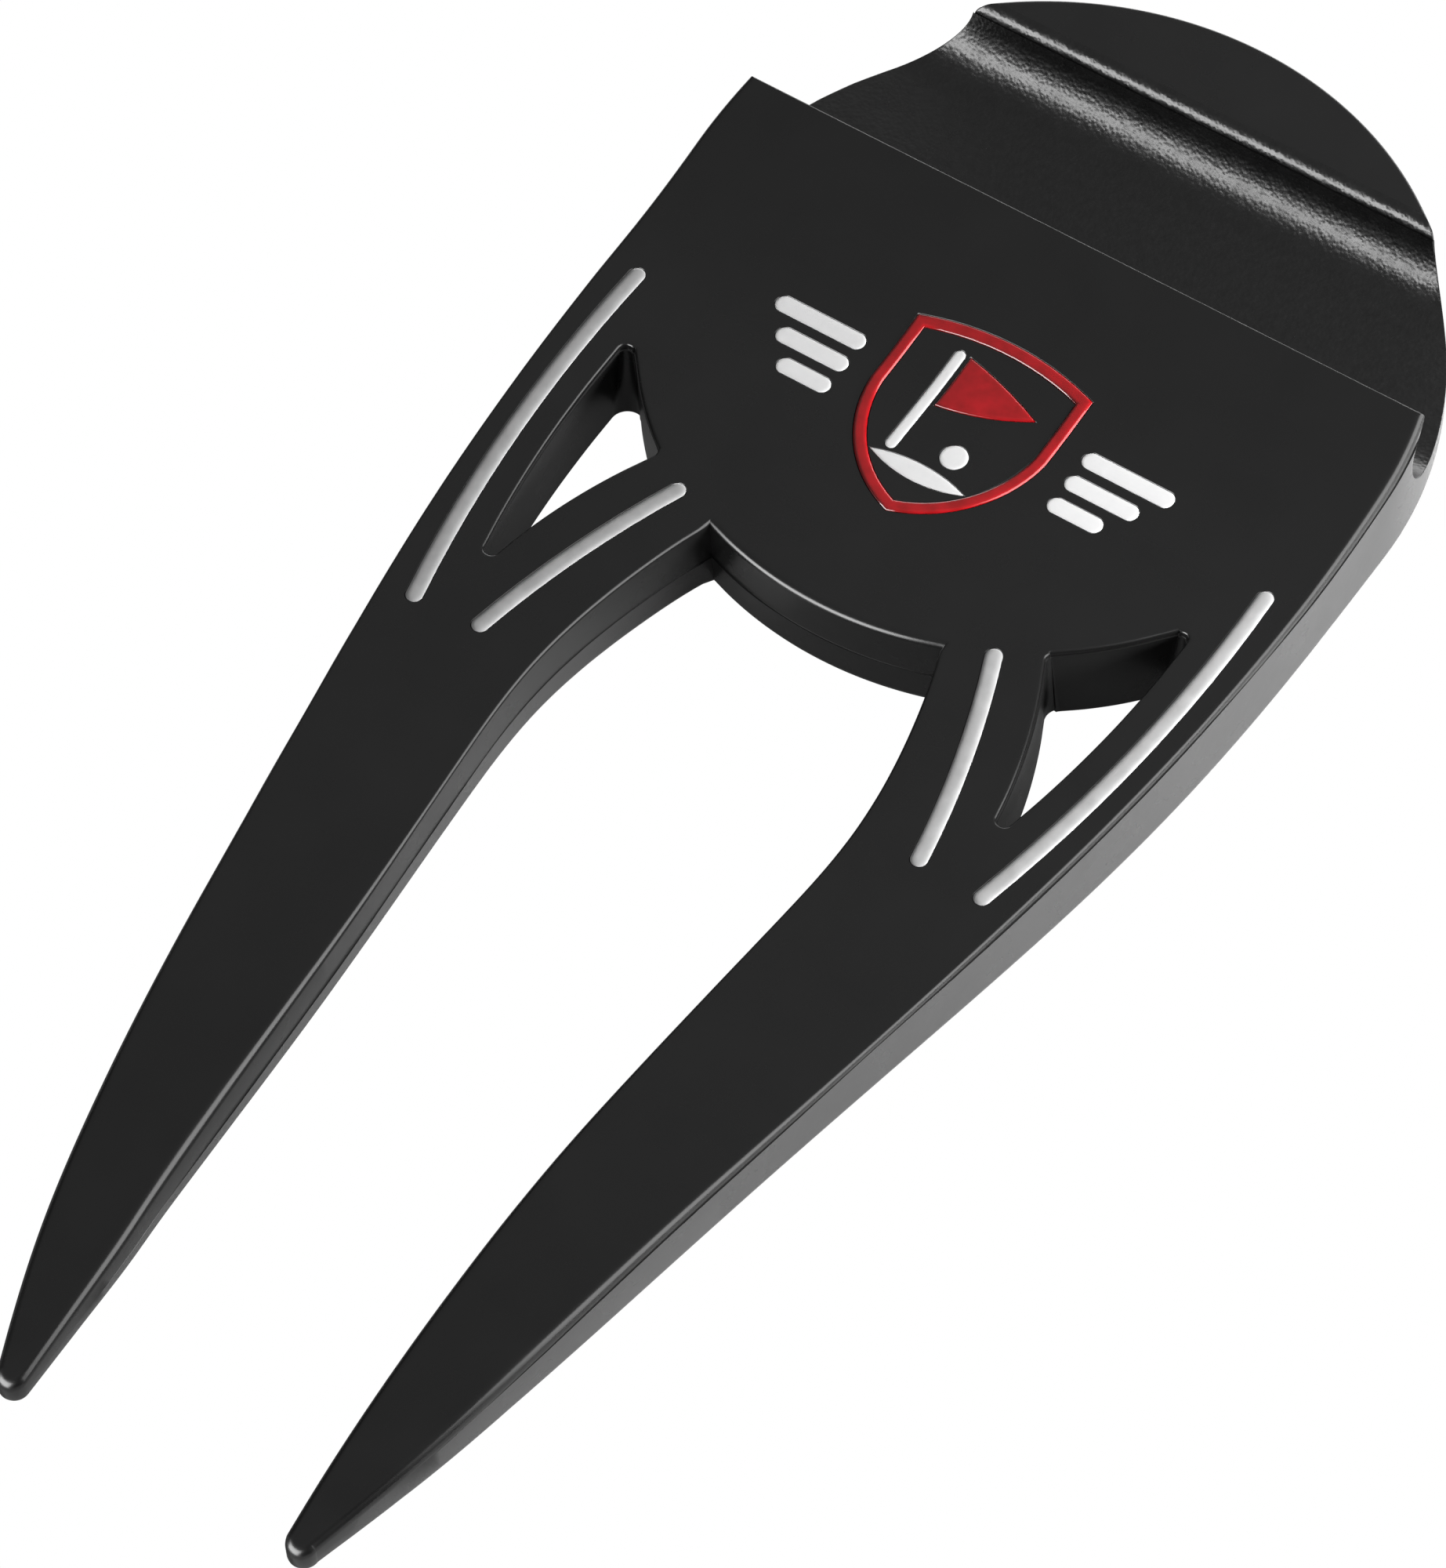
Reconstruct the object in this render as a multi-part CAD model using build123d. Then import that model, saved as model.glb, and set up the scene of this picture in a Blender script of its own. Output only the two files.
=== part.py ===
from build123d import *
import os
from math import cos, pi

# Divot repair tool: a die-cast body with two arched tines, and hard enamel fills
# in shallow pockets on its face.  All lengths are in millimetres.
#
# The outline and the side profile are drawn with Y measured from the tine tips.
# At the end everything is moved so that the origin is at the middle of the
# footprint: X is the width, +Y points from the tines to the cap, +Z is the face.

# ---------------------------------------------------------------- overall sizes
LENGTH = 80.0             # tine tips to the far end of the cap
PLATE_THICKNESS = 4.3     # flat part of the face above the resting plane
HEAD_RADIUS = 17.1        # round end of the head, seen from above
HEAD_CENTRE = LENGTH - HEAD_RADIUS
THROAT_RADIUS = 16.6      # arc between the tines, on the same centre

# ------------------------------------------------------------------ side profile
TIP_THICKNESS = 0.9       # at the very end of a tine
TAPER_START = 21.5        # the face begins to fall towards the tips here
ARCH_TOE = 0.5            # the back is arched between these two stations
ARCH_HEEL = 52.0
ARCH_CROWN = 22.0         # the arch is highest here
ARCH_HEIGHT = 1.1
LIP_START = 56.5          # the face begins to rise towards the lip here
LIP_EDGE = 66.6           # the lip ends in a straight edge across the head
LIP_HEIGHT = 6.0
LIP_LAND = 0.2            # the lip is blunt over this height and undercut below it
REST_FLOOR = 1.6          # floor of the thumb rest above the resting plane
REST_START = 68.4         # the floor is level from here to the fillet of the cap
HOOK_DEPTH = 1.3          # how far the rest reaches back under the lip
HOOK_MIDDLE = 3.95        # height where it reaches furthest
REST_CAP_FILLET = 2.9     # against the cap
RIDGE = 75.6              # straight edge where the cap begins
CAP_HEIGHT = 4.6

# ---------------------------------------------------------------------- outline
# Outer edge of the right tine, from the widest part of the head to the tip.
OUTER_EDGE = [(17.1, 56.5), (16.35, 44.5), (14.5, 32.0), (12.4, 20.0), (10.46, 10.0), (9.47, 6.0)]
# Inner edge of the right tine, from the tip to the throat.
INNER_EDGE = [(6.18, 9.0), (6.52, 20.0), (7.54, 32.5), (7.77, 37.5), (6.75, 44.0)]
TIP_INNER = (6.3, 0.65)
TIP_END = (7.0, 0.0)
TIP_OUTER = (7.7, 0.65)
THROAT_CORNER = 5.68      # half-width of the arc between the tines

# ---------------------------------------------------------------------- windows
WINDOW_OUTER_TOP = 13.95   # half-width where the outer edge meets the throat circle
WINDOW_OUTER_MIDDLE = (13.75, 47.2)
WINDOW_OUTER_END = (12.85, 41.4)
WINDOW_INNER_END = (12.25, 41.4)
WINDOW_INNER_MIDDLE = (11.02, 45.95)
WINDOW_INNER_TOP = 9.48    # half-width where the inner edge meets the throat circle
WINDOW_HEEL_FILLET = 0.6  # in the two corners towards the head
WINDOW_TOE_FILLET = 0.3   # at the narrow end

# ------------------------------------------------------------------ enamel fills
POCKET_DEPTH = 0.35
ENAMEL_CROWN = 0.06       # how far the cured enamel stands above the face
LINE_WIDTH = 0.74
OUTER_LINE = [(15.5, 56.3), (15.3, 47.0), (13.88, 38.0)]
INNER_LINE = [(7.78, 48.05), (9.56, 43.1), (10.73, 38.2)]

# ------------------------------------------------------------------ crest emblem
EMBLEM_Y = 57.0           # the emblem is drawn about this point on the centre line
SHIELD_HALF_WIDTH = 4.3
SHIELD_SHOULDER = 3.7     # height of the shield's top corners
SHIELD_CROWN = 4.4
SHIELD_WAIST = 0.2        # the straight sides end here
SHIELD_FLANK = (3.0, -3.1)
SHIELD_POINT = -5.2
SHIELD_BAND = 0.55
STICK_X = -1.7
STICK_WIDTH = 0.5
STICK_BOTTOM = -2.5
STICK_TOP = 3.1
PENNANT_LENGTH = 4.0
PENNANT_HEIGHT = 2.7
PENNANT_GAP = 0.2
GREEN_HALF_WIDTH = 2.3
GREEN_Y = -2.9
GREEN_RISE = 0.4
GREEN_SAG = 0.5
BALL_RADIUS = 0.6
BALL_X = 0.9
BALL_Y = -1.5
WING_START = 5.4          # inner ends of the bars on each side
WING_BARS = [(1.3, 4.4), (0.0, 3.5), (-1.3, 2.6)]   # height and length of each bar
WING_BAR_WIDTH = 0.8


def mirror_x(points):
    """The same points on the left-hand side, in the opposite order."""
    return [(-x, y) for x, y in reversed(points)]


def head_outline():
    """Closed outline of the tool seen from above."""
    right_side = (HEAD_RADIUS, HEAD_CENTRE)
    left_side = (-HEAD_RADIUS, HEAD_CENTRE)
    throat_y = HEAD_CENTRE - (THROAT_RADIUS**2 - THROAT_CORNER**2) ** 0.5
    right_throat = (THROAT_CORNER, throat_y)
    left_throat = (-THROAT_CORNER, throat_y)
    throat_bottom = (0, HEAD_CENTRE - THROAT_RADIUS)
    outer = [right_side] + OUTER_EDGE + [TIP_OUTER]
    inner = [TIP_INNER] + INNER_EDGE + [right_throat]
    with BuildLine() as outline:
        ThreePointArc(left_side, (0, LENGTH), right_side)
        Spline(outer, tangents=[(0, -1), (-0.36, -1)])
        ThreePointArc(TIP_OUTER, TIP_END, TIP_INNER)
        Spline(inner, tangents=[(-0.04, 1), (-0.42, 1)])
        ThreePointArc(right_throat, throat_bottom, left_throat)
        Spline(mirror_x(inner), tangents=[(-0.42, -1), (-0.04, -1)])
        ThreePointArc(mirror_x([TIP_INNER])[0], mirror_x([TIP_END])[0], mirror_x([TIP_OUTER])[0])
        Spline(mirror_x(outer), tangents=[(-0.36, 1), (0, 1)])
    return make_face(outline.line)


def tangent_arc_point(start, end, fraction):
    """Point on the parabola that leaves start level and ends at end."""
    y = start[0] + (end[0] - start[0]) * fraction
    z = start[1] + (end[1] - start[1]) * fraction**2
    return (y, z)


def face_curve(lift):
    """Edges of the face in the side view, from the tip to the lip, raised by lift."""
    tip = (-1.0, TIP_THICKNESS + lift)
    taper = (TAPER_START, PLATE_THICKNESS + lift)
    lip_foot = (LIP_START, PLATE_THICKNESS + lift)
    lip = (LIP_EDGE, LIP_HEIGHT + lift)
    return [
        ThreePointArc(tip, tangent_arc_point(taper, tip, 0.5), taper),
        Line(taper, lip_foot),
        ThreePointArc(lip_foot, tangent_arc_point(lip_foot, lip, 0.5), lip),
    ]


def side_slab(edges, width=40.0):
    """Solid made by drawing edges in the side view and extruding them across."""
    profile = make_face(Wire(edges))
    slab = extrude(Plane.YZ * profile, amount=width / 2, both=True)
    return slab


def side_profile():
    """Everything between the back and the face, over the whole length."""
    far_end = LENGTH + 1.0
    diagonal = cos(pi / 4)
    land_end = (LIP_EDGE, LIP_HEIGHT - LIP_LAND)
    hook = (LIP_EDGE - HOOK_DEPTH, HOOK_MIDDLE)
    under_land = (LIP_EDGE - 0.65 * HOOK_DEPTH, LIP_HEIGHT - 1.0)
    above_hook = (hook[0], HOOK_MIDDLE + 0.65)
    below_hook = (hook[0], HOOK_MIDDLE - 1.25)
    rest_start = (REST_START, REST_FLOOR)
    before_start = (REST_START - 2.1, REST_FLOOR)
    cap_toe = (RIDGE - REST_CAP_FILLET, REST_FLOOR)
    cap_foot = (RIDGE, REST_FLOOR + REST_CAP_FILLET)
    cap_mid = (
        RIDGE - REST_CAP_FILLET * (1 - diagonal),
        REST_FLOOR + REST_CAP_FILLET * (1 - diagonal),
    )
    crown = (ARCH_CROWN, ARCH_HEIGHT)
    above_toe = ((ARCH_CROWN + ARCH_TOE) / 2, ARCH_HEIGHT)
    third = (ARCH_HEEL - ARCH_CROWN) / 3
    edges = face_curve(0.0)
    edges += [
        Line((LIP_EDGE, LIP_HEIGHT), land_end),
        Bezier(land_end, under_land, above_hook, hook),
        Bezier(hook, below_hook, before_start, rest_start),
        Line(rest_start, cap_toe),
        ThreePointArc(cap_toe, cap_mid, cap_foot),
        Line(cap_foot, (RIDGE, CAP_HEIGHT)),
        Line((RIDGE, CAP_HEIGHT), (far_end, CAP_HEIGHT)),
        Line((far_end, CAP_HEIGHT), (far_end, 0)),
        Line((far_end, 0), (ARCH_HEEL, 0)),
        Bezier((ARCH_HEEL, 0), (ARCH_HEEL - third, 0), (ARCH_CROWN + third, ARCH_HEIGHT), crown),
        Bezier(crown, above_toe, (ARCH_TOE, 0)),
        Line((ARCH_TOE, 0), (-1.0, 0)),
        Line((-1.0, 0), (-1.0, TIP_THICKNESS)),
    ]
    return side_slab(edges)


def face_skin(depth, height):
    """Layer that follows the face, from depth below it to height above it."""
    below = face_curve(-depth)
    above = face_curve(height)
    edges = below + above
    edges += [
        Line((-1.0, TIP_THICKNESS - depth), (-1.0, TIP_THICKNESS + height)),
        Line((LIP_EDGE, LIP_HEIGHT - depth), (LIP_EDGE, LIP_HEIGHT + height)),
    ]
    return side_slab(edges)


def window_face():
    """Right-hand triangular window between the two enamel lines."""
    far_start = on_throat_circle(WINDOW_INNER_TOP)
    far_end = on_throat_circle(WINDOW_OUTER_TOP)
    far_middle = on_throat_circle((far_start[0] + far_end[0]) / 2)
    end_middle = ((WINDOW_OUTER_END[0] + WINDOW_INNER_END[0]) / 2, WINDOW_OUTER_END[1] - 0.12)
    with BuildSketch() as window:
        with BuildLine():
            ThreePointArc(far_start, far_middle, far_end)
            ThreePointArc(far_end, WINDOW_OUTER_MIDDLE, WINDOW_OUTER_END)
            ThreePointArc(WINDOW_OUTER_END, end_middle, WINDOW_INNER_END)
            ThreePointArc(WINDOW_INNER_END, WINDOW_INNER_MIDDLE, far_start)
        make_face()
        corners = window.vertices().sort_by(Axis.Y)
        fillet(corners[2:], WINDOW_HEEL_FILLET)
        corners = window.vertices().sort_by(Axis.Y)
        fillet(corners[:2], WINDOW_TOE_FILLET)
    return window.sketch


def on_throat_circle(x):
    """Point at half-width x on the circle of the arc between the tines."""
    return (x, HEAD_CENTRE - (THROAT_RADIUS**2 - x**2) ** 0.5)


def line_face(points, side):
    """Round-ended bowed stroke through three points, on one side of the tool."""
    start, middle, end = [(side * x, y) for x, y in points]
    return SlotArc(ThreePointArc(start, middle, end), height=LINE_WIDTH)


def shield_face():
    """Red band around the flag, in the shape of a shield."""
    shoulder = (SHIELD_HALF_WIDTH, EMBLEM_Y + SHIELD_SHOULDER)
    waist = (SHIELD_HALF_WIDTH, EMBLEM_Y + SHIELD_WAIST)
    flank = (SHIELD_FLANK[0], EMBLEM_Y + SHIELD_FLANK[1])
    point = (0, EMBLEM_Y + SHIELD_POINT)
    left_shoulder, left_waist, left_flank = [(-x, y) for x, y in (shoulder, waist, flank)]
    with BuildSketch() as shield:
        with BuildLine():
            ThreePointArc(left_shoulder, (0, EMBLEM_Y + SHIELD_CROWN), shoulder)
            Line(shoulder, waist)
            ThreePointArc(waist, flank, point)
            ThreePointArc(point, left_flank, left_waist)
            Line(left_waist, left_shoulder)
        make_face()
        offset(amount=-SHIELD_BAND, kind=Kind.INTERSECTION, mode=Mode.SUBTRACT)
    return shield.sketch


def flagstick_face():
    length = STICK_TOP - STICK_BOTTOM
    centre = (STICK_X, EMBLEM_Y + (STICK_TOP + STICK_BOTTOM) / 2)
    return Pos(*centre) * SlotOverall(length, STICK_WIDTH, rotation=90)


def pennant_face():
    """Waving triangle that flies from the top of the stick."""
    hoist_x = STICK_X + STICK_WIDTH / 2 + PENNANT_GAP
    top = EMBLEM_Y + STICK_TOP - 0.1
    bottom = top - PENNANT_HEIGHT
    fly = (hoist_x + PENNANT_LENGTH, (top + bottom) / 2 + 0.1)
    with BuildSketch() as pennant:
        with BuildLine():
            Line((hoist_x, bottom), (hoist_x, top))
            Spline((hoist_x, top), (hoist_x + 0.5 * PENNANT_LENGTH, top - 0.5), fly)
            Spline(fly, (hoist_x + 0.5 * PENNANT_LENGTH, bottom + 0.5), (hoist_x, bottom))
        make_face()
    return pennant.sketch


def green_face():
    """Lens-shaped putting green under the flag."""
    y = EMBLEM_Y + GREEN_Y
    left = (-GREEN_HALF_WIDTH, y)
    right = (GREEN_HALF_WIDTH, y)
    with BuildSketch() as green:
        with BuildLine():
            ThreePointArc(left, (0, y + GREEN_RISE), right)
            ThreePointArc(right, (0, y - GREEN_SAG), left)
        make_face()
    return green.sketch


def ball_face():
    return Pos(BALL_X, EMBLEM_Y + BALL_Y) * Circle(BALL_RADIUS)


def wing_faces(side):
    """Round-ended bars, one above the other, that lead away from the flag."""
    bars = []
    for height, length in WING_BARS:
        x = side * (WING_START + length / 2)
        bars.append(Pos(x, EMBLEM_Y + height) * SlotOverall(length, WING_BAR_WIDTH))
    return bars


def upright(face):
    """Prism through the whole tool over a flat shape."""
    return extrude(face, amount=LIP_HEIGHT + 2.0)


def write(name, solids):
    """Move the solids to the part's frame and write them as one node."""
    shape = Pos(0, -LENGTH / 2, 0) * Compound(children=solids)
    shape.label = name
    export_step(shape, f"parts/{name}.step")


def body_blank():
    """The casting before its pockets are cut."""
    blank = extrude(head_outline(), amount=LIP_HEIGHT + 1.0) & side_profile()
    for side in (1, -1):
        window = upright(window_face())
        if side < 0:
            window = mirror(window, Plane.YZ)
        blank -= window
    return blank.solids()[0]


FILLS = {
    "outer_right_line": [line_face(OUTER_LINE, 1)],
    "outer_left_line": [line_face(OUTER_LINE, -1)],
    "inner_right_line": [line_face(INNER_LINE, 1)],
    "inner_left_line": [line_face(INNER_LINE, -1)],
    "shield": [shield_face()],
    "flagstick": [flagstick_face()],
    "pennant": [pennant_face()],
    "putting_green": [green_face()],
    "golf_ball": [ball_face()],
    "right_wing": wing_faces(1),
    "left_wing": wing_faces(-1),
}

os.makedirs("parts", exist_ok=True)

body = body_blank()
pocket_layer = face_skin(POCKET_DEPTH, 1.5)
enamel_layer = face_skin(POCKET_DEPTH, ENAMEL_CROWN)
for name, faces in FILLS.items():
    fills = []
    for face in faces:
        prism = upright(face)
        body -= prism & pocket_layer
        fills += (prism & enamel_layer).solids()
    write(name, fills)
write("cast_body", body.solids())
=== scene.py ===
import math

import bmesh
import bpy
import numpy as np
from mathutils import Euler, Matrix, Vector
from mathutils.geometry import delaunay_2d_cdt


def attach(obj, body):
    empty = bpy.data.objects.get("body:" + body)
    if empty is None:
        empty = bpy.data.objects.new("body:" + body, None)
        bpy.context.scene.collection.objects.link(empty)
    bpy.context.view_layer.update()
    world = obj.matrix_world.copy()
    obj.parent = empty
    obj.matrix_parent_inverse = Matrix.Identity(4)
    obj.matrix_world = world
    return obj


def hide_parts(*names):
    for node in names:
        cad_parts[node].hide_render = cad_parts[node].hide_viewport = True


# Looks of a divot repair tool: a die-cast body in black paint, with domed enamel in
# the pockets of its face.  Lengths are in millimetres until a mesh is finished, and Y
# is measured from the tine tips, as in the drawing of the part.

MM = 0.001

# ------------------------------------------------- driving dimensions, as in the CAD
LENGTH = 80.0
PLATE_THICKNESS = 4.3
HEAD_RADIUS = 17.1
HEAD_CENTRE = LENGTH - HEAD_RADIUS
THROAT_RADIUS = 16.6
TIP_THICKNESS = 0.9
TAPER_START = 21.5
TAPER_TOE = -1.0          # the arc of the tapered face begins a little before the tips
ARCH_TOE = 0.5
ARCH_HEEL = 52.0
ARCH_CROWN = 22.0
ARCH_HEIGHT = 1.1
LIP_START = 56.5
LIP_EDGE = 66.6
LIP_HEIGHT = 6.0
LIP_LAND = 0.2
REST_FLOOR = 1.6
REST_START = 68.4
HOOK_DEPTH = 1.3
HOOK_MIDDLE = 3.95
REST_CAP_FILLET = 2.9
RIDGE = 75.6
CAP_HEIGHT = 4.6
POCKET_DEPTH = 0.35

# --------------------------------------------------------------- edges of the casting
LEVEL = 0.9               # a face whose normal points up by this much belongs to the plan
POINT_SPACING = 0.45      # along the outlines
CORNER_ANGLE = math.radians(45)
TURN_STEP = math.radians(6)
EDGE_STEPS = 5
CORE_TOLERANCE = 0.03     # distance within which a point counts as on the round wall
TIP_EDGE = 0.36           # radius where the face meets the walls, and so on below
SHANK_EDGE = 0.4
TINE_EDGE = 0.16
THROAT_EDGE = 0.3
CHEEK_EDGE = 0.34         # at the two ends of the lip
CAP_EDGE = 0.12
WINDOW_EDGE = 0.12
TIP_EDGE_END = 2.0        # distances from the tips between which the radius changes evenly
SHANK_EDGE_AT = 12.0
TINE_EDGE_START = 30.0
TINE_EDGE_END = 50.0
BACK_EDGE = 0.5           # radius where the back meets the walls
WINDOW_BACK_EDGE = 0.25
FACE_EDGE_SHARE = 0.36    # most that each edge may take of the wall's height
BACK_EDGE_SHARE = 0.25
LAND = 0.12               # narrow ring that keeps the flat faces' shading flat
LAND_SHARE = 0.06         # most that it may be, as a share of the wall's height
FACE_GRID = 1.0           # spacing of the points inside the face and the back
BACK_GRID = 1.2
BODY_CREASE = math.radians(32)
DRAFT = 0.1               # the walls lean in by this much towards the back
CORE_DRAFT = 0.07         # the round wall of the throat and the windows leans back at the top
PARTING_STEP = 0.07       # the lower half of the casting stands out by about this much
PARTING_DROP = 0.01       # height of the ledge between the two halves
PARTING_START = 4.0       # distance from the tips where the step begins
PARTING_RUN = 12.0        # and over which it grows
PARTING_INSIDE = 0.42     # height of the parting line between the tines, as a share of the wall
PARTING_OUTSIDE = 0.96    # and everywhere else, just under the edge of the face
INSIDE_HALF_WIDTH = 8.3   # the walls between the tines lie within this distance of the middle
INSIDE_END = 50.0         # and of the tips
CORNER_FLARE = 0.27       # the windows' upper corners have a radius this much smaller at the face
UPPER_CORNERS = 47.0      # those are the corners further than this from the tips
PARTING_FLARE = 0.9       # how much of that is left at the parting line
FILLET_SPACING = 0.1      # the outlines' points are closer together than this only in fillets

# -------------------------------------------------------------------------- thumb rest
LIP_ROUND = 0.1
RIDGE_ROUND = 0.7
FLOOR_ROLL = 0.12         # the floor rolls over into the wall at both ends
CORNER_ROLL = 0.07        # the upright corners of the lip and the cap

# ------------------------------------------------------------------------------ enamel
POCKET_GAP = 0.015
POCKET_CHAMFER = 0.03
POCKET_LIFT = 0.004       # the chamfer begins this much above the face
ENAMEL_BOTTOM_GAP = 0.02  # between the enamel and the bottom of its pocket
ENAMEL_CREASE = math.radians(40)
# The dome's profile from its edge inwards, as shares of its inset and its height.
DOME = [(0.0, 0.0), (0.15, 0.4), (0.4, 0.75), (0.7, 0.94), (1.0, 1.0)]
# Inset and height of the dome in each colour.
DOME_SIZE = {"grey_enamel": (0.29, 0.06), "white_enamel": (0.16, 0.02), "red_enamel": (0.16, 0.07)}

# ------------------------------------------------------------------------------ camera
CAMERA_TARGET = (1.5, -2.3, 3.0)
CAMERA_DISTANCE = 399.6
CAMERA_AZIMUTH = math.radians(38.47)
CAMERA_ELEVATION = math.radians(55.32)
CAMERA_ROLL = math.radians(-5.0)
CAMERA_LENS = 227.7
SENSOR_LONG_SIDE = 36.0

# ------------------------------------------------------------------------------- floor
FLOOR_SIZE = 6.0          # metres
FLOOR_ALBEDO = 0.55
FLOOR_PAINTED_REFLECTION = 1.08        # its albedo as the paint's reflections see it, higher than its own: painted reflection brightness
FLOOR_GLOW = 0.05         # light of its own, so that it isn't black in the shade under the tool

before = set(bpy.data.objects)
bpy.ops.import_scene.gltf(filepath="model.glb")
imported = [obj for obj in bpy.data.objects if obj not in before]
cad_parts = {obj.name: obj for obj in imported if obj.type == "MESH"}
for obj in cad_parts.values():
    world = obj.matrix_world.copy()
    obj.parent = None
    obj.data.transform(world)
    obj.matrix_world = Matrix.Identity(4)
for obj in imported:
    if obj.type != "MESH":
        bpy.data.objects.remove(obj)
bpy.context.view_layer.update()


# ------------------------------------------------------------------------ side profile
def arc_height(start, middle, end):
    """Function that gives the height on the arc through three points of the side view."""
    (ax, ay), (bx, by), (cx, cy) = start, middle, end
    twice = 2 * (ax * (by - cy) + bx * (cy - ay) + cx * (ay - by))
    a, b, c = ax**2 + ay**2, bx**2 + by**2, cx**2 + cy**2
    centre_y = (a * (by - cy) + b * (cy - ay) + c * (ay - by)) / twice
    centre_z = (a * (cx - bx) + b * (ax - cx) + c * (bx - ax)) / twice
    radius = math.hypot(ax - centre_y, ay - centre_z)
    side = math.copysign(1, by - centre_z)

    def height(y):
        return centre_z + side * np.sqrt(np.maximum(radius**2 - (y - centre_y) ** 2, 0))

    return height


def halfway(start, end):
    """Middle of the parabola that leaves start level and ends at end."""
    return ((start[0] + end[0]) / 2, start[1] + (end[1] - start[1]) / 4)


TIP = (TAPER_TOE, TIP_THICKNESS)
TAPER = (TAPER_START, PLATE_THICKNESS)
LIP_FOOT = (LIP_START, PLATE_THICKNESS)
LIP = (LIP_EDGE, LIP_HEIGHT)
BEHIND_LIP = LIP_EDGE + 0.3    # the uncut face keeps rising to here, past the lip
taper_height = arc_height(TIP, halfway(TAPER, TIP), TAPER)
lip_height = arc_height(LIP_FOOT, halfway(LIP_FOOT, LIP), LIP)


def face_height(y):
    """Height of the face over the whole length.  The thumb rest is cut out of it later."""
    y = np.asarray(y, float)
    height = np.full(y.shape, PLATE_THICKNESS)
    height = np.where(y < TAPER_START, taper_height(y), height)
    height = np.where(y > LIP_START, lip_height(np.minimum(y, BEHIND_LIP)), height)
    # Over the thumb rest, where it is cut away, it only has to run down to the cap.
    run_out = np.interp(y, [BEHIND_LIP, RIDGE - 0.5], [lip_height(BEHIND_LIP), CAP_HEIGHT])
    return np.where(y > BEHIND_LIP, run_out, height)


def back_height(y):
    """Height of the arched back: it rises steeply from the tips and runs out slowly."""
    y = np.asarray(y, float)
    towards_toe = np.clip((ARCH_CROWN - y) / (ARCH_CROWN - ARCH_TOE), 0, 1)
    towards_heel = np.clip((y - ARCH_CROWN) / (ARCH_HEEL - ARCH_CROWN), 0, 1)
    fall = towards_toe**2 + towards_heel**2 * (3 - 2 * towards_heel)
    return ARCH_HEIGHT * (1 - fall)


# ---------------------------------------------------------------------------- outlines
def unit(vectors):
    return vectors / np.maximum(np.linalg.norm(vectors, axis=-1, keepdims=True), 1e-12)


def plan_loops(node, facing):
    """Outlines of the faces of a CAD node that look up (1) or down (-1), seen from above.

    The material is always on the left of an outline's direction."""
    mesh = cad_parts[node].data
    edges = set()
    for polygon in mesh.polygons:
        if polygon.normal.z * facing < LEVEL:
            continue
        corners = [tuple(round(c / MM, 3) for c in mesh.vertices[i].co) for i in polygon.vertices]
        for start, end in zip(corners, corners[1:] + corners[:1]):
            if (end, start) in edges:
                edges.remove((end, start))
            else:
                edges.add((start, end))
    following = dict(sorted(edges))
    loops = []
    while following:
        start = min(following)
        loop = [start]
        point = following.pop(start)
        while point != start:
            loop.append(point)
            point = following.pop(point)
        if facing < 0:
            loop.reverse()
        loops.append(np.array([(x, y + LENGTH / 2) for x, y, _ in loop]))
    loops.sort(key=lambda loop: -np.ptp(loop[:, 1]))
    return loops


def smooth_loop(points, spacing):
    """The same outline with more points, rounded between them except at sharp corners."""
    count = len(points)
    ahead = np.roll(points, -1, axis=0) - points
    behind = np.roll(ahead, 1, axis=0)
    turn = np.arccos(np.clip(np.sum(unit(ahead) * unit(behind), axis=1), -1, 1))
    tangent = unit(ahead + behind)
    result = []
    for i in range(count):
        j = (i + 1) % count
        length = np.linalg.norm(ahead[i])
        chord = ahead[i] / length
        leave = chord if turn[i] > CORNER_ANGLE else tangent[i]
        arrive = chord if turn[j] > CORNER_ANGLE else tangent[j]
        bend = (turn[i] + turn[j]) / 2 if max(turn[i], turn[j]) < CORNER_ANGLE else 0.0
        steps = max(1, math.ceil(length / spacing), math.ceil(bend / TURN_STEP))
        for step in range(steps):
            t = step / steps
            point = (1 + 2 * t) * (1 - t) ** 2 * points[i] + t**2 * (3 - 2 * t) * points[j]
            point = point + length * (t * (1 - t) ** 2 * leave - t**2 * (1 - t) * arrive)
            result.append(point)
    return np.array(result)


def sideways(points):
    """Vectors that move each point of an outline into the material by one unit."""
    ahead = unit(np.roll(points, -1, axis=0) - points)
    behind = np.roll(ahead, 1, axis=0)
    both = ahead + behind
    left = np.stack([-both[:, 1], both[:, 0]], axis=1)
    # The limit keeps a sharp corner's vector short.
    return left / np.maximum(1 + np.sum(ahead * behind, axis=1), 0.3)[:, None]


def inside(points, loops):
    """Which points lie inside the outlines and outside their holes."""
    found = np.zeros(len(points), bool)
    x, y = points[:, 0, None], points[:, 1, None]
    for loop in loops:
        ends = np.roll(loop, -1, axis=0)
        ax, ay, bx, by = loop[:, 0], loop[:, 1], ends[:, 0], ends[:, 1]
        spans = (ay > y) != (by > y)
        slope = (bx - ax) / np.where(by == ay, 1e-9, by - ay)
        crossings = spans & (x < ax + (y - ay) * slope)
        found ^= crossings.sum(axis=1) % 2 == 1
    return found


def clear_of(points, loops, distance):
    """Which points are further than distance from every point of the outlines."""
    near = np.concatenate(loops)
    gaps = np.linalg.norm(points[:, None, :] - near[None, :, :], axis=2)
    return gaps.min(axis=1) > distance


# ------------------------------------------------------------------------- mesh making
def add_ring(bm, plan, heights):
    heights = np.broadcast_to(heights, (len(plan),))
    return [bm.verts.new((x, y, z)) for (x, y), z in zip(plan, heights)]


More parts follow.
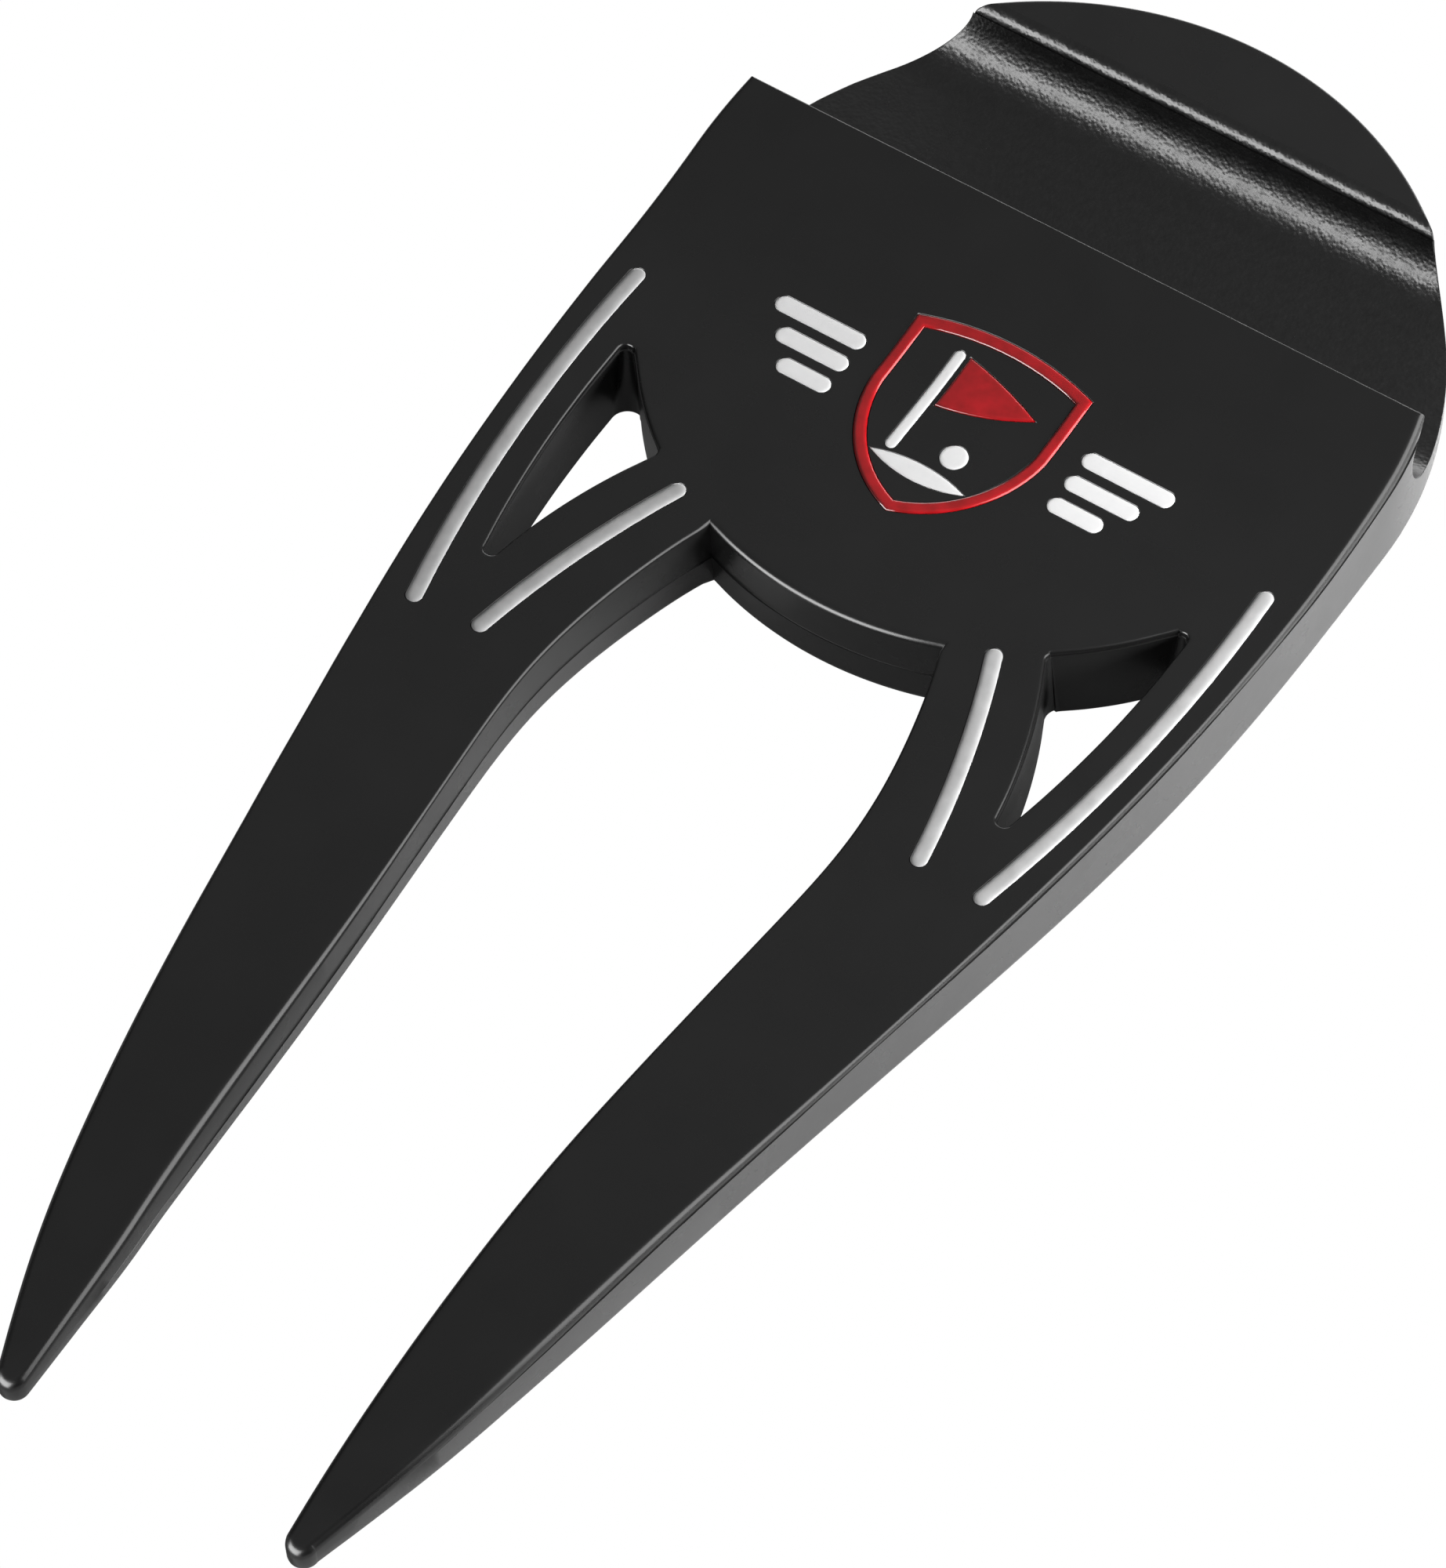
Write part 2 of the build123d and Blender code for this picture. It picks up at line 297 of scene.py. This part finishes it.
def join_rings(bm, upper, lower):
    count = len(upper)
    for i in range(count):
        j = (i + 1) % count
        bm.faces.new((upper[i], lower[i], lower[j], upper[j]))


def add_fill(bm, rings, height=None, grid=0.0):
    """Triangles between closed rings of vertices, with a grid of points of its own."""
    plans = [np.array([vert.co[:2] for vert in ring]) for ring in rings]
    verts = [vert for ring in rings for vert in ring]
    corners = np.concatenate(plans)
    edges = []
    start = 0
    for ring in rings:
        count = len(ring)
        edges += [(start + i, start + (i + 1) % count) for i in range(count)]
        start += count
    if grid:
        low, high = corners.min(axis=0), corners.max(axis=0)
        columns = np.arange(low[0] + grid / 2, high[0], grid)
        rows = np.arange(low[1] + grid / 2, high[1], grid)
        extra = np.stack(np.meshgrid(columns, rows), axis=-1).reshape(-1, 2)
        extra = extra[inside(extra, plans)]
        extra = extra[clear_of(extra, plans, grid * 0.6)]
        verts += add_ring(bm, extra, height(extra[:, 1]))
        corners = np.concatenate([corners, extra])
    flat = [Vector((float(x), float(y))) for x, y in corners]
    points, _, faces, sources, _, _ = delaunay_2d_cdt(flat, edges, [], 0, 1e-7)
    centres = np.array([[sum(points[i][k] for i in face) / 3 for k in (0, 1)] for face in faces])
    kept = inside(centres, plans)
    for face, keep in zip(faces, kept):
        if keep:
            bm.faces.new([verts[sources[i][0]] for i in face])


def finish_mesh(bm, name):
    """Object in metres, in the part's own frame, from a mesh in the drawing's millimetres."""
    bmesh.ops.recalc_face_normals(bm, faces=bm.faces)
    bm.transform(Matrix.Scale(MM, 4) @ Matrix.Translation((0, -LENGTH / 2, 0)))
    mesh = bpy.data.meshes.new(name)
    bm.to_mesh(mesh)
    bm.free()
    obj = bpy.data.objects.new(name, mesh)
    bpy.context.scene.collection.objects.link(obj)
    return obj


def smooth_shading(obj, angle):
    mesh = obj.data
    mesh.polygons.foreach_set("use_smooth", [True] * len(mesh.polygons))
    mesh.set_sharp_from_angle(angle=angle)


def flatten_shading(obj, start):
    """Lets large faces decide the shading behind start, so that they look flat to their edges."""
    group = obj.vertex_groups.new(name="flat")
    limit = (start - LENGTH / 2) * MM
    group.add([vertex.index for vertex in obj.data.vertices if vertex.co.y > limit], 1.0, "REPLACE")
    modifier = obj.modifiers.new("normals", "WEIGHTED_NORMAL")
    modifier.vertex_group = "flat"
    modifier.weight = 100
    modifier.keep_sharp = True
    apply_modifiers(obj)


def apply_modifiers(obj):
    graph = bpy.context.evaluated_depsgraph_get()
    mesh = bpy.data.meshes.new_from_object(obj.evaluated_get(graph))
    obj.modifiers.clear()
    obj.data = mesh


# ------------------------------------------------------------------------ body casting
def on_core_wall(points):
    """Which points are on the round wall shared by the throat and both windows."""
    distance = np.hypot(points[:, 0], points[:, 1] - HEAD_CENTRE)
    return np.abs(distance - THROAT_RADIUS) < CORE_TOLERANCE


def edge_radius(points, is_window):
    """Radius between the face and the wall at each point of an outline."""
    if is_window:
        return np.full(len(points), WINDOW_EDGE)
    stations = [TIP_EDGE_END, SHANK_EDGE_AT, TINE_EDGE_START, TINE_EDGE_END, LIP_EDGE, RIDGE]
    radii = [TIP_EDGE, SHANK_EDGE, TINE_EDGE, TINE_EDGE, CHEEK_EDGE, CAP_EDGE]
    return np.where(on_core_wall(points), THROAT_EDGE, np.interp(points[:, 1], stations, radii))


def parting_step(points):
    """How far the two halves of the casting miss each other: it wanders along an outline."""
    x, y = points[:, 0], points[:, 1]
    wander = 0.7 + 0.2 * np.sin(0.35 * x + 0.21 * y) + 0.1 * np.sin(1.3 * x - 0.7 * y + 1.0)
    return PARTING_STEP * wander * np.clip((y - PARTING_START) / PARTING_RUN, 0, 1)


def corner_flare(points, into):
    """Moves that turn the rounded upper corners of an outline into ones of smaller radius."""
    count = len(points)
    moves = np.zeros_like(points)
    gaps = np.linalg.norm(np.roll(points, -1, axis=0) - points, axis=1)
    rounded = (gaps < FILLET_SPACING) & (points[:, 1] > UPPER_CORNERS)
    first = int(np.argmin(rounded))
    run = []
    for i in [(first + step) % count for step in range(count + 1)]:
        if rounded[i]:
            run.append(i)
        elif run:
            start, end = into[run[0]], into[i]
            apex = (start + end) / (1 + start @ end)
            moves[run + [i]] = CORNER_FLARE * (apex - into[run + [i]])
            run = []
    return moves


def add_wall(bm, points, is_window):
    """Rings from the face, over its edge, down the wall and round to the back.

    Gives the first and the last ring, for the face and the back to fill."""
    into = sideways(points)
    tall = face_height(points[:, 1]) - back_height(points[:, 1])
    front = np.minimum(edge_radius(points, is_window), FACE_EDGE_SHARE * tall)
    back = np.minimum(WINDOW_BACK_EDGE if is_window else BACK_EDGE, BACK_EDGE_SHARE * tall)
    land = np.minimum(LAND, LAND_SHARE * tall)
    core = on_core_wall(points)
    top_lean = np.where(core, CORE_DRAFT, 0.0)
    bottom_lean = np.where(core, 0.0, DRAFT * np.clip(points[:, 1] / 10, 0, 1))
    flare = corner_flare(points, into) if is_window else np.zeros_like(points)
    rings = []

    def ring(inset, surface, rise, flared=0.0):
        """One more ring, moved in from the outline and standing rise above a surface.

        Its corners open by the share flared of the flare."""
        plan = points + flared * flare + into * inset[:, None]
        rings.append(add_ring(bm, plan, surface(plan[:, 1]) + rise))

    ring(top_lean + front + land, face_height, 0.0, 1.0)
    for step in range(EDGE_STEPS + 1):
        angle = math.pi / 2 * step / EDGE_STEPS
        ring(top_lean + front * (1 - math.sin(angle)), face_height, front * (math.cos(angle) - 1), 1.0)
    inside_gap = (np.abs(points[:, 0]) < INSIDE_HALF_WIDTH) & (points[:, 1] < INSIDE_END)
    share = np.where(inside_gap & (not is_window), PARTING_INSIDE, PARTING_OUTSIDE)
    parting = back + share * (tall - front - back) - tall
    ring(top_lean, face_height, parting, PARTING_FLARE)
    ring(top_lean - parting_step(points), face_height, parting - PARTING_DROP, PARTING_FLARE)
    for step in range(EDGE_STEPS + 1):
        angle = math.pi / 2 * step / EDGE_STEPS
        ring(bottom_lean + back * (1 - math.cos(angle)), back_height, back * (1 - math.sin(angle)))
    ring(bottom_lean + back + land, back_height, 0.0)
    for upper, lower in zip(rings, rings[1:]):
        join_rings(bm, upper, lower)
    return rings[0], rings[-1]


def make_blank():
    """The casting before its thumb rest and pockets are cut."""
    bm = bmesh.new()
    tops, bottoms = [], []
    for number, loop in enumerate(plan_loops("cast_body", -1)):
        points = smooth_loop(loop, POINT_SPACING)
        top, bottom = add_wall(bm, points, number > 0)
        tops.append(top)
        bottoms.append(bottom)
    add_fill(bm, tops, face_height, FACE_GRID)
    add_fill(bm, bottoms, back_height, BACK_GRID)
    return finish_mesh(bm, "painted_body")


def rest_profile():
    """Side view of the thumb rest's surface: (y, z, outward normal, roll at its ends).

    It starts and ends well above the face, so that the cut is open at the top."""
    above = LIP_HEIGHT + 3.0
    stations = [(LIP_EDGE - LIP_ROUND, above, (0.0, 0.0), 0.0)]

    def arc(centre, radius, start, end, steps, hollow, roll_start, roll_end):
        """Points on an arc, from one angle in degrees to another."""
        for step in range(steps + 1):
            share = step / steps
            angle = math.radians(start + (end - start) * share)
            across, up = math.cos(angle), math.sin(angle)
            normal = (-across, -up) if hollow else (across, up)
            place = (centre[0] + radius * across, centre[1] + radius * up)
            roll = roll_start + (roll_end - roll_start) * share
            stations.append((*place, normal, roll))

    def bezier(corners, steps, roll_start, roll_end):
        """Points after the first one on the curve with these four control points."""
        for step in range(1, steps + 1):
            t = step / steps
            weights = [(1 - t) ** 3, 3 * t * (1 - t) ** 2, 3 * t**2 * (1 - t), t**3]
            slopes = [-((1 - t) ** 2), (1 - t) * (1 - 3 * t), t * (2 - 3 * t), t**2]
            y, z = [sum(w * corner[k] for w, corner in zip(weights, corners)) for k in (0, 1)]
            along_y, along_z = [sum(w * corner[k] for w, corner in zip(slopes, corners)) for k in (0, 1)]
            length = math.hypot(along_y, along_z)
            roll = roll_start + (roll_end - roll_start) * t
            stations.append((y, z, (-along_z / length, along_y / length), roll))

    lip_slope = math.atan2(2 * (LIP_HEIGHT - PLATE_THICKNESS), LIP_EDGE - LIP_START)
    lip_y = LIP_EDGE - LIP_ROUND
    lip_z = float(lip_height(lip_y)) - LIP_ROUND / math.cos(lip_slope)
    arc((lip_y, lip_z), LIP_ROUND, 84 + math.degrees(lip_slope), 0, 6, False, CORNER_ROLL, CORNER_ROLL)

    # The undercut is a hook of two curves below the lip's narrow land.
    land_end = (LIP_EDGE, LIP_HEIGHT - LIP_LAND)
    hook = (LIP_EDGE - HOOK_DEPTH, HOOK_MIDDLE)
    under_land = (LIP_EDGE - 0.65 * HOOK_DEPTH, LIP_HEIGHT - 1.0)
    above_hook = (hook[0], HOOK_MIDDLE + 0.65)
    below_hook = (hook[0], HOOK_MIDDLE - 1.25)
    rest_start = (REST_START, REST_FLOOR)
    before_start = (REST_START - 2.1, REST_FLOOR)
    stations.append((*land_end, (0.9, -0.4), CORNER_ROLL))
    bezier((land_end, under_land, above_hook, hook), 7, CORNER_ROLL, CORNER_ROLL)
    bezier((hook, below_hook, before_start, rest_start), 12, CORNER_ROLL, FLOOR_ROLL)

    # Then comes the level floor, the fillet up to the ridge and the rounded ridge.
    rest_end = RIDGE - REST_CAP_FILLET
    for share in (0.33, 0.67):
        y = REST_START + (rest_end - REST_START) * share
        stations.append((y, REST_FLOOR, (0.0, 1.0), FLOOR_ROLL))
    hollow_centre = (rest_end, REST_FLOOR + REST_CAP_FILLET)
    ridge_centre = (RIDGE + RIDGE_ROUND, CAP_HEIGHT - RIDGE_ROUND)
    arc(hollow_centre, REST_CAP_FILLET, 270, 352, 14, True, FLOOR_ROLL, CORNER_ROLL)
    arc(ridge_centre, RIDGE_ROUND, 180, 94, 8, False, CORNER_ROLL, CORNER_ROLL)
    stations.append((RIDGE + RIDGE_ROUND, above, (0.0, 0.0), 0.0))
    return stations


def half_width(y):
    """Half the width of the round head at Y."""
    return math.sqrt(HEAD_RADIUS**2 - (y - HEAD_CENTRE) ** 2)


def make_rest_cutter():
    """Solid to take away for the thumb rest, with its surface rolled over at both ends."""
    bm = bmesh.new()
    inner_columns = 12
    roll_steps = 6
    steepest = math.radians(70)
    roll_angles = [steepest * step / roll_steps for step in range(1, roll_steps + 1)]
    past_wall = 0.25
    far_out = 25.0
    rows = []
    for y, z, normal, roll in rest_profile():
        width = half_width(y)
        half = []
        for column in range(inner_columns + 1):
            half.append(((width - roll) * column / inner_columns, 0.0))
        for angle in roll_angles:
            half.append((width - roll * (1 - math.sin(angle)), roll * (1 - math.cos(angle))))
        last_x, last_drop = half[-1]
        drop = last_drop + math.tan(roll_angles[-1]) * (width + past_wall - last_x)
        half.append((width + past_wall, drop))
        half.append((far_out, drop))
        columns = [(-x, drop) for x, drop in reversed(half[1:])] + half
        row = []
        for x, drop in columns:
            row.append(bm.verts.new((x, y - normal[0] * drop, z - normal[1] * drop)))
        rows.append(row)
    for first, second in zip(rows, rows[1:]):
        for i in range(len(first) - 1):
            bm.faces.new((first[i], first[i + 1], second[i + 1], second[i]))
    bm.faces.new(rows[0] + rows[-1][::-1])
    bm.faces.new([row[0] for row in rows])
    bm.faces.new([row[-1] for row in rows])
    return finish_mesh(bm, "rest_cutter")


def make_pocket_cutter(loops):
    """Solids to take away for the enamel of one CAD node."""
    bm = bmesh.new()
    above = LIP_HEIGHT + 2.0
    tops, bottoms = [], []
    for loop in loops:
        into = sideways(loop)
        surface = face_height(loop[:, 1])
        snug = loop - into * POCKET_GAP
        eased = loop - into * (POCKET_GAP + POCKET_CHAMFER)
        rings = [
            add_ring(bm, eased, above),
            add_ring(bm, eased, surface + POCKET_LIFT),
            add_ring(bm, snug, surface - POCKET_CHAMFER),
            add_ring(bm, snug, surface - POCKET_DEPTH),
        ]
        for upper, lower in zip(rings, rings[1:]):
            join_rings(bm, upper, lower)
        tops.append(rings[0])
        bottoms.append(rings[-1])
    add_fill(bm, tops)
    add_fill(bm, bottoms)
    return finish_mesh(bm, "pocket_cutter")


def cut(blank, cutters):
    for number, cutter in enumerate(cutters):
        modifier = blank.modifiers.new(f"cut_{number}", "BOOLEAN")
        modifier.operation = "DIFFERENCE"
        modifier.solver = "EXACT"
        modifier.material_mode = "TRANSFER"
        modifier.object = cutter
    apply_modifiers(blank)
    for cutter in cutters:
        bpy.data.objects.remove(cutter)


# ------------------------------------------------------------------------------ enamel
def make_enamel(node, loops, inset, height):
    """Enamel that fills the pockets of one CAD node and rises by height over the inset."""
    bm = bmesh.new()
    rims, floors = [], []
    for loop in loops:
        into = sideways(loop)
        surface = face_height(loop[:, 1])
        rings = []
        for across, up in reversed(DOME):
            plan = loop + into * across * inset
            rings.append(add_ring(bm, plan, face_height(plan[:, 1]) + up * height))
        rings.append(add_ring(bm, loop, surface - POCKET_DEPTH + ENAMEL_BOTTOM_GAP))
        for upper, lower in zip(rings, rings[1:]):
            join_rings(bm, upper, lower)
        rims.append(rings[0])
        floors.append(rings[-1])
    add_fill(bm, rims)
    add_fill(bm, floors)
    return finish_mesh(bm, f"{node}_enamel")


# --------------------------------------------------------------------------- materials
class Shader:
    """Small helper that adds and links the nodes of one material."""

    def __init__(self, name):
        self.material = bpy.data.materials.new(name)
        self.material.use_nodes = True
        self.tree = self.material.node_tree
        self.surface = self.tree.nodes["Principled BSDF"]
        self.place = self.add("ShaderNodeNewGeometry").outputs["Position"]

    def add(self, kind, **settings):
        node = self.tree.nodes.new(kind)
        for key, value in settings.items():
            setattr(node, key, value)
        return node

    def link(self, output, socket):
        self.tree.links.new(output, socket)

    def noise(self, size, detail=2.0):
        """Noise whose grains are about size millimetres across."""
        node = self.add("ShaderNodeTexNoise")
        node.inputs["Scale"].default_value = 1 / (size * MM)
        node.inputs["Detail"].default_value = detail
        self.link(self.place, node.inputs["Vector"])
        return node.outputs["Fac"]

    def cells(self, size):
        """Rounded cells about size millimetres across."""
        node = self.add("ShaderNodeTexVoronoi", feature="SMOOTH_F1")
        node.inputs["Scale"].default_value = 1 / (size * MM)
        node.inputs["Smoothness"].default_value = 0.6
        self.link(self.place, node.inputs["Vector"])
        return node.outputs["Distance"]

    def spread(self, value, low, high):
        """The middle part of a noise's range, spread from low to high."""
        node = self.add("ShaderNodeMapRange")
        self.link(value, node.inputs["Value"])
        node.inputs["From Min"].default_value = 0.3
        node.inputs["From Max"].default_value = 0.7
        node.inputs["To Min"].default_value = low
        node.inputs["To Max"].default_value = high
        return node.outputs["Result"]

    def blend(self, factor, first, second):
        """A mix of two colours."""
        node = self.add("ShaderNodeMix", data_type="RGBA")
        self.link(factor, node.inputs["Factor"])
        node.inputs["A"].default_value = (*first, 1)
        node.inputs["B"].default_value = (*second, 1)
        return node.outputs["Result"]

    def bump(self, value, depth, under=None):
        """Relief of depth millimetres, on top of the relief under it."""
        node = self.add("ShaderNodeBump")
        node.inputs["Distance"].default_value = depth * MM
        self.link(value, node.inputs["Height"])
        if under is not None:
            self.link(under, node.inputs["Normal"])
        return node.outputs["Normal"]


def black_paint():
    """Semi-gloss black paint with a faint orange peel."""
    shader = Shader("black_paint")
    surface = shader.surface
    clouds = shader.spread(shader.noise(6.0), 0, 1)
    colour = shader.blend(clouds, (0.0066, 0.0066, 0.0066), (0.0073, 0.0073, 0.0073))
    shader.link(colour, surface.inputs["Base Color"])
    shader.link(shader.spread(shader.noise(3.0, 4.0), 0.26, 0.3), surface.inputs["Roughness"])
    surface.inputs["IOR"].default_value = 1.5
    peel = shader.bump(shader.noise(0.5), 0.002)
    grain = shader.bump(shader.noise(0.14), 0.0003, under=peel)
    shader.link(grain, surface.inputs["Normal"])
    return shader.material


def pebbled_paint():
    """The same paint over the cast texture of the thumb rest."""
    shader = Shader("pebbled_paint")
    surface = shader.surface
    specks = shader.spread(shader.noise(0.4), 0, 1)
    colour = shader.blend(specks, (0.0058, 0.0058, 0.0058), (0.0088, 0.0088, 0.0088))
    shader.link(colour, surface.inputs["Base Color"])
    shader.link(shader.spread(shader.noise(1.0, 3.0), 0.26, 0.32), surface.inputs["Roughness"])
    surface.inputs["IOR"].default_value = 1.5
    pebbles = shader.bump(shader.cells(0.18), 0.014)
    grain = shader.bump(shader.noise(0.1), 0.005, under=pebbles)
    shader.link(grain, surface.inputs["Normal"])
    return shader.material


def enamel_paint(name, dark, light, roughness, coat):
    """Fired-looking enamel with faint clouding."""
    shader = Shader(name)
    surface = shader.surface
    colour = shader.blend(shader.spread(shader.noise(0.7, 3.0), 0, 1), dark, light)
    shader.link(colour, surface.inputs["Base Color"])
    uneven = shader.spread(shader.noise(0.5), roughness * 0.9, roughness * 1.1)
    shader.link(uneven, surface.inputs["Roughness"])
    surface.inputs["Coat Weight"].default_value = coat
    surface.inputs["Coat Roughness"].default_value = 0.08
    shader.link(shader.bump(shader.noise(0.35), 0.004), surface.inputs["Normal"])
    return shader.material


# ----------------------------------------------------------------------- camera, lights
def direction(azimuth, elevation):
    """Unit vector that points from the object at a place around it.

    Azimuth 0 is in front, beyond the tine tips, and grows towards +X."""
    flat = math.cos(elevation)
    return Vector((flat * math.sin(azimuth), -flat * math.cos(azimuth), math.sin(elevation)))


def add_camera():
    data = bpy.data.cameras.new("camera")
    data.lens = CAMERA_LENS
    data.sensor_width = SENSOR_LONG_SIDE
    data.clip_start = 0.01
    data.clip_end = 10
    camera = bpy.data.objects.new("camera", data)
    towards = direction(CAMERA_AZIMUTH, CAMERA_ELEVATION)
    camera.location = (Vector(CAMERA_TARGET) + towards * CAMERA_DISTANCE) * MM
    turn = Euler((math.pi / 2 - CAMERA_ELEVATION, 0, CAMERA_AZIMUTH)).to_matrix()
    camera.rotation_euler = (turn @ Matrix.Rotation(CAMERA_ROLL, 3, "Z")).to_euler()
    bpy.context.scene.collection.objects.link(camera)
    bpy.context.scene.camera = camera


def soft_box(name, azimuth, elevation, distance, size, brightness, role):
    """Rectangular light that faces the object, with its place in degrees and millimetres.

    Brightness is the radiance of its face.  A "card" is only seen in reflections, and a
    "key" only lights surfaces."""
    data = bpy.data.lights.new(name, "AREA")
    data.shape = "RECTANGLE"
    data.size = size[0] * MM
    data.size_y = size[1] * MM
    data.energy = brightness * math.pi * data.size * data.size_y
    light = bpy.data.objects.new(name, data)
    towards = direction(math.radians(azimuth), math.radians(elevation))
    light.location = towards * distance * MM
    light.rotation_euler = towards.to_track_quat("Z", "Y").to_euler()
    light.visible_glossy = role == "card"
    light.visible_diffuse = role == "key"
    bpy.context.scene.collection.objects.link(light)


def add_floor():
    """Plain pale floor: pure white to the camera, and with painted reflection brightness: paler in the
    paint's reflections than the lamps make it.
    """
    half = FLOOR_SIZE / 2
    corners = [(-half, -half, 0), (half, -half, 0), (half, half, 0), (-half, half, 0)]
    mesh = bpy.data.meshes.new("floor")
    mesh.from_pydata(corners, [], [(0, 1, 2, 3)])
    floor = bpy.data.objects.new("floor", mesh)
    bpy.context.scene.collection.objects.link(floor)
    material = bpy.data.materials.new("floor")
    material.use_nodes = True
    tree = material.node_tree
    tree.nodes.remove(tree.nodes["Principled BSDF"])
    seen = tree.nodes.new("ShaderNodeLightPath")
    # Glossy rays see a higher albedo than other rays do: this paints extra brightness into the paint's
    # reflections of the floor.
    pale_and_painted_reflection = tree.nodes.new("ShaderNodeMapRange")
    pale_and_painted_reflection.inputs["To Min"].default_value = FLOOR_ALBEDO
    pale_and_painted_reflection.inputs["To Max"].default_value = FLOOR_PAINTED_REFLECTION
    tree.links.new(seen.outputs["Is Glossy Ray"], pale_and_painted_reflection.inputs["Value"])
    surface = tree.nodes.new("ShaderNodeBsdfDiffuse")
    tree.links.new(pale_and_painted_reflection.outputs["Result"], surface.inputs["Color"])
    faint = tree.nodes.new("ShaderNodeEmission")
    faint.inputs["Strength"].default_value = FLOOR_GLOW
    both = tree.nodes.new("ShaderNodeAddShader")
    tree.links.new(surface.outputs["BSDF"], both.inputs[0])
    tree.links.new(faint.outputs["Emission"], both.inputs[1])
    white = tree.nodes.new("ShaderNodeEmission")
    mix = tree.nodes.new("ShaderNodeMixShader")
    tree.links.new(seen.outputs["Is Camera Ray"], mix.inputs["Fac"])
    tree.links.new(both.outputs["Shader"], mix.inputs[1])
    tree.links.new(white.outputs["Emission"], mix.inputs[2])
    tree.links.new(mix.outputs["Shader"], tree.nodes["Material Output"].inputs["Surface"])
    mesh.materials.append(material)


# ---------------------------------------------------------------------------- assembly
ENAMELS = {
    "grey_enamel": ["outer_right_line", "outer_left_line", "inner_right_line", "inner_left_line"],
    "white_enamel": ["flagstick", "golf_ball", "putting_green", "right_wing", "left_wing"],
    "red_enamel": ["shield", "pennant"],
}
ENAMEL_MATERIALS = {
    "grey_enamel": enamel_paint("grey_enamel", (0.46, 0.46, 0.46), (0.55, 0.55, 0.55), 0.33, 0.3),
    "white_enamel": enamel_paint("white_enamel", (0.92, 0.92, 0.92), (0.95, 0.95, 0.95), 0.5, 0.0),
    "red_enamel": enamel_paint("red_enamel", (0.35, 0.003, 0.005), (0.5, 0.005, 0.01), 0.2, 0.3),
}

body = make_blank()
paint = black_paint()
body.data.materials.append(paint)
rest_cutter = make_rest_cutter()
rest_cutter.data.materials.append(pebbled_paint())
cutters = [rest_cutter]
for slot, nodes in ENAMELS.items():
    for node in nodes:
        loops = plan_loops(node, 1)
        cutter = make_pocket_cutter(loops)
        cutter.data.materials.append(paint)
        cutters.append(cutter)
        enamel = make_enamel(node, loops, *DOME_SIZE[slot])
        enamel.data.materials.append(ENAMEL_MATERIALS[slot])
        smooth_shading(enamel, ENAMEL_CREASE)
        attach(enamel, "root")
        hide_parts(node)
cut(body, cutters)
smooth_shading(body, BODY_CREASE)
flatten_shading(body, TAPER_START)
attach(body, "root")
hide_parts("cast_body")

add_floor()
soft_box("key", 108, 19, 122, (60, 35), 49.5, "key")
soft_box("top_key", 0, 80, 600, (500, 500), 0.4, "key")
soft_box("right_card", 110, 35, 420, (400, 420), 5.5, "card")
soft_box("front_card", -24, 16, 420, (400, 350), 13.5, "card")
soft_box("back_card", 218, 68, 600, (1000, 900), 0.24, "card")
soft_box("far_card", 200, 9, 420, (400, 150), 4.5, "card")
add_camera()

world = bpy.data.worlds.new("studio")
world.use_nodes = True
world.node_tree.nodes["Background"].inputs["Color"].default_value = (0.08, 0.08, 0.08, 1)
bpy.context.scene.world = world
bpy.context.scene.view_settings.view_transform = "Standard"
